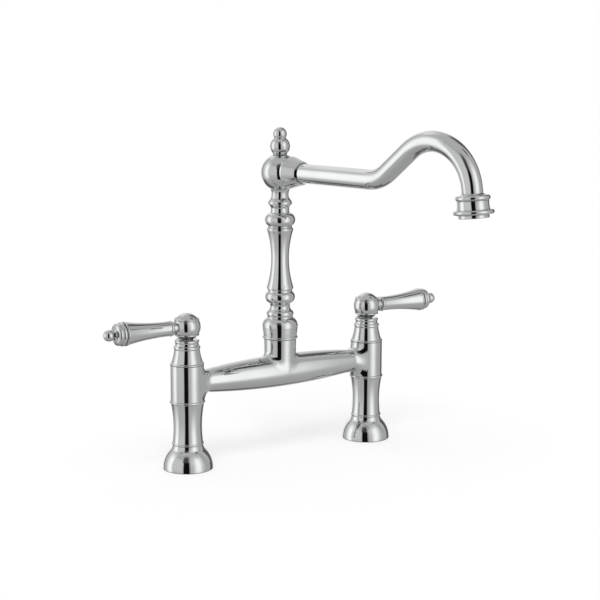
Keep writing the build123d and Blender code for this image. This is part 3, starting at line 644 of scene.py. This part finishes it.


def chrome(name, waves, roughness):
    """Polished chrome, with waves of a given depth, a base roughness, and painted shade in its creases."""
    material = bpy.data.materials.new(name)
    material.use_nodes = True
    tree = material.node_tree
    tree.nodes.clear()
    wave = add(tree, "ShaderNodeGroup", node_tree=waves_group)
    wave.inputs["Depth"].default_value = waves
    hair = add(tree, "ShaderNodeGroup", node_tree=hairline_group)
    hair.inputs["Base"].default_value = roughness
    tint = add(
        tree,
        "ShaderNodeMix",
        {"Factor": 1.0, "A": hair.outputs["Tone"], "B": chrome_tint},
        data_type="RGBA",
        blend_type="MULTIPLY",
    )
    # painted shade: the colour darkens where ambient occlusion finds a close neighbour, for dark lines in
    # creases
    crease = add(tree, "ShaderNodeAmbientOcclusion", {"Distance": painted_shade_reach}, samples=8)
    painted_crease_shade = ramp(tree, crease.outputs["AO"], painted_shade_stops)
    tint_with_painted_shade = add(
        tree,
        "ShaderNodeMix",
        {"Factor": 1.0, "A": tint.outputs[2], "B": painted_crease_shade},
        data_type="RGBA",
        blend_type="MULTIPLY",
    )
    surface = add(
        tree,
        "ShaderNodeBsdfPrincipled",
        {
            "Base Color": tint_with_painted_shade.outputs[2],
            "Metallic": 1.0,
            "Roughness": hair.outputs["Roughness"],
            "Normal": wave.outputs["Normal"],
        },
    )
    add(tree, "ShaderNodeOutputMaterial", {0: surface.outputs[0]})
    return material


finishes = {
    "chrome_base": chrome("chrome_base", 0.08, 0.018),
    "chrome_column": chrome("chrome_column", 0.07, 0.018),
    "chrome_spout": chrome("chrome_spout", 0.05, 0.022),
    "chrome_lever": chrome("chrome_lever", 0.08, 0.018),
}
print("chrome finishes:", sorted(finishes))

# %% [markdown]
# ## What stays unplated
#
# The parts that nobody sees are left as they were made: brass with the rings of the lathe on it, brushed
# steel, dull black rubber, white ceramic and milky acetal. Each could have a tree of its own. They differ
# only in colours, grain and gloss, so one tree with different numbers does for all of them: a noise,
# stretched along the marks of the tool, moves the colour, the gloss and the height together.


# %% The other finishes
shine_spread = 0.1  # how far the roughness varies in all


def plain_finish(name, dark, light, metallic, rough, grain_size, stretch, depth):
    """A finish whose colour and height follow a noise between two colours, stretched along one axis."""
    material = bpy.data.materials.new(name)
    material.use_nodes = True
    tree = material.node_tree
    tree.nodes.clear()
    place = add(tree, "ShaderNodeTexCoord").outputs["Object"]
    drawn = add(tree, "ShaderNodeMapping", {"Vector": place, "Scale": stretch})
    grain = add(tree, "ShaderNodeTexNoise", {"Vector": drawn.outputs[0], "Scale": grain_size, "Detail": 4.0})
    colour = add(tree, "ShaderNodeMix", {"Factor": grain.outputs[0], "A": dark, "B": light}, data_type="RGBA")
    spread = maths(tree, "MULTIPLY", grain.outputs[0], shine_spread)
    shine = maths(tree, "ADD", rough - shine_spread / 2, spread)
    bump = add(tree, "ShaderNodeBump", {"Strength": depth, "Distance": 0.0005, "Height": grain.outputs[0]})
    surface = add(
        tree,
        "ShaderNodeBsdfPrincipled",
        {
            "Base Color": colour.outputs[2],
            "Metallic": metallic,
            "Roughness": shine,
            "Normal": bump.outputs[0],
        },
    )
    add(tree, "ShaderNodeOutputMaterial", {0: surface.outputs[0]})
    return material


# For each finish: its two colours, how metallic and how rough it is, the size and stretch of its grain, and
# how deep the grain is.
plain_values = {
    "brass": ((0.60, 0.43, 0.17, 1), (0.78, 0.60, 0.28, 1), 1.0, 0.30, 400.0, (0.3, 0.3, 6.0), 0.25),
    "steel": ((0.42, 0.42, 0.43, 1), (0.60, 0.60, 0.61, 1), 1.0, 0.32, 500.0, (1.0, 1.0, 0.1), 0.15),
    "rubber": ((0.018, 0.018, 0.019, 1), (0.035, 0.035, 0.036, 1), 0.0, 0.65, 900.0, (1.0, 1.0, 1.0), 0.3),
    "ceramic": ((0.78, 0.76, 0.71, 1), (0.86, 0.85, 0.81, 1), 0.0, 0.15, 700.0, (1.0, 1.0, 1.0), 0.05),
    "acetal": ((0.72, 0.72, 0.69, 1), (0.82, 0.82, 0.80, 1), 0.0, 0.40, 600.0, (1.0, 1.0, 1.0), 0.1),
}
for name, values in plain_values.items():
    finishes[name] = plain_finish(name, *values)
print("plain finishes:", sorted(plain_values))

# %% [markdown]
# ## Each piece gets its finish
#
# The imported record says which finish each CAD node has. The new pieces were given theirs when they were made,
# so nothing needs to be chosen here.

# %% Finishes on the pieces
for piece, slot in new_pieces:
    piece.data.materials.append(finishes[slot])
slot_of = {part["node"]: part["material_slot"] for part in frame["record"]["subparts"]}
for node, piece in nodes.items():
    piece.data.materials.clear()
    piece.data.materials.append(finishes[slot_of[node]])
print("finished", len(nodes), "CAD nodes with", len(finishes), "materials")
